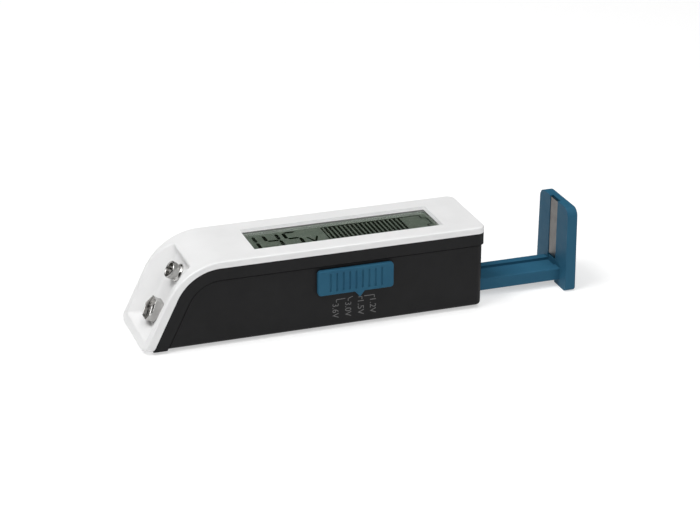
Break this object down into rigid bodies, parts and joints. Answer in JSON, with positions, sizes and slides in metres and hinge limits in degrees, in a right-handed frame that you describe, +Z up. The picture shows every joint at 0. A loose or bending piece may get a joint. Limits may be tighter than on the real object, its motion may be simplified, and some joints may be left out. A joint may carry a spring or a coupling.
{
  "type": "battery tester",
  "caption": "Pocket battery tester with a wedge nose carrying snap terminals, a display in the top, a sliding selector on the side and a jaw that slides out of the end to clamp round cells.",
  "frame": {"origin": "on the table under the middle of the casing, level with the undersides of its feet", "axes": "+X along the casing towards the sliding jaw, +Y towards the back, away from the selector, +Z up through the display"},
  "size_m": [0.1342, 0.0278, 0.0264],
  "materials": {
    "white_shell": "satin white injection-moulded ABS",
    "black_shell": "fine-grained black injection-moulded ABS",
    "blue_slider": "satin petrol-blue injection-moulded ABS",
    "clear_window": "clear polished acrylic pane",
    "polariser": "grey-green neutral polarising film",
    "lcd_glass": "thin float glass",
    "reflector_film": "grained silver-green reflector film",
    "frame_plastic": "natural white nylon",
    "zebra_rubber": "layered silicone connector strip",
    "board_laminate": "green solder-masked glass-epoxy laminate",
    "chip_epoxy": "black moulded epoxy with tinned legs",
    "ceramic_parts": "lacquered resistor bodies and ceramic chip capacitors",
    "nickel": "bright nickel plate",
    "spring_steel": "satin nickel-plated spring steel",
    "brass_strip": "rolled brass strip",
    "switch_plastic": "black phenolic",
    "steel_screw": "zinc-plated steel",
    "cell_case": "stainless steel cell case",
    "red_wire": "red PVC insulation",
    "black_wire": "black PVC insulation"
  },
  "bodies": {
    "casing": {"top_cover": "white_shell", "bottom_housing": "black_shell", "battery_door": "black_shell", "display_window": "clear_window", "front_polariser": "polariser", "lcd_front_glass": "lcd_glass", "lcd_back_glass": "lcd_glass", "lcd_reflector": "reflector_film", "lcd_holder": "frame_plastic", "zebra_strip": "zebra_rubber", "circuit_board": "board_laminate", "controller_chip": "chip_epoxy", "load_resistors": "ceramic_parts", "chip_capacitors": "ceramic_parts", "switch_case": "switch_plastic", "arm_guide": "black_shell", "contact_rail": "brass_strip", "end_contact": "spring_steel", "snap_crown": "nickel", "snap_stud": "nickel", "solder_tabs": "brass_strip", "button_cells": "cell_case", "cell_plate": "spring_steel", "cell_spring": "spring_steel", "case_screws": "steel_screw", "guide_screws": "steel_screw", "board_screws": "steel_screw", "door_screw": "steel_screw", "red_leads": "red_wire", "black_leads": "black_wire"},
    "jaw": {"slide_arm": "blue_slider", "jaw_contact": "spring_steel"},
    "selector": {"selector_knob": "blue_slider", "switch_lever": "frame_plastic"}
  },
  "joints": [
    {"name": "jaw_slide", "type": "slide", "parent": "casing", "child": "jaw", "axis": [1, 0, 0], "range_m": [-0.0274, 0.0347]},
    {"name": "selector_slide", "type": "slide", "parent": "casing", "child": "selector", "axis": [1, 0, 0], "range_m": [-0.004, 0.002]}
  ]
}
